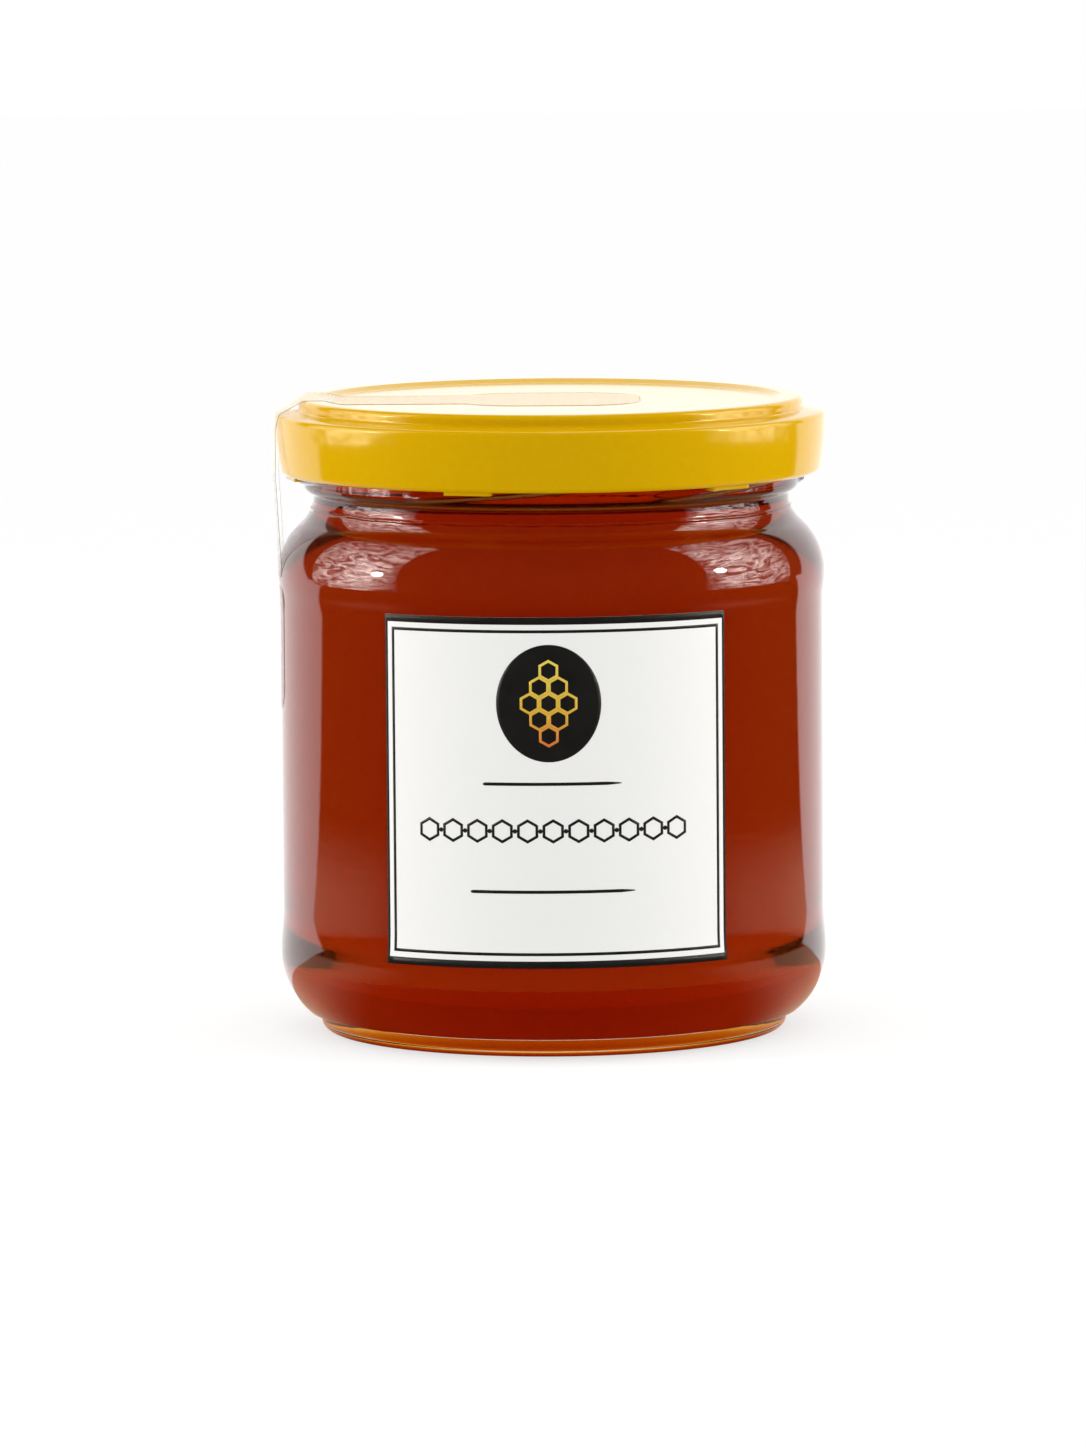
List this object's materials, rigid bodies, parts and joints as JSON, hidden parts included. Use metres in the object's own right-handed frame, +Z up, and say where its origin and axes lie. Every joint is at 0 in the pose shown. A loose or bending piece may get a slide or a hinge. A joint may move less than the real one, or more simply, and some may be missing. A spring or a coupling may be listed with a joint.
{
  "type": "honey jar",
  "caption": "Round glass jar of dark amber honey with a yellow twist-off lid, a framed paper label and a clear seal strip.",
  "frame": {"origin": "on the jar's axis, on the surface that it stands on", "axes": "+Z up along the jar's axis; the label faces -Y; the seal strip comes down the -X side"},
  "size_m": [0.0862, 0.0854, 0.0988],
  "materials": {
    "glass": "clear moulded soda-lime glass, fire-polished",
    "honey": "clear liquid, dark reddish amber",
    "lid_enamel": "glossy golden yellow enamel on tinplate",
    "label_paper": "satin coated white paper with black and gold print",
    "clear_film": "thin clear plastic film"
  },
  "bodies": {
    "root": {"glass_jar": "glass", "honey": "honey", "lid": "lid_enamel", "front_label": "label_paper", "seal_strip": "clear_film"}
  },
  "joints": []
}
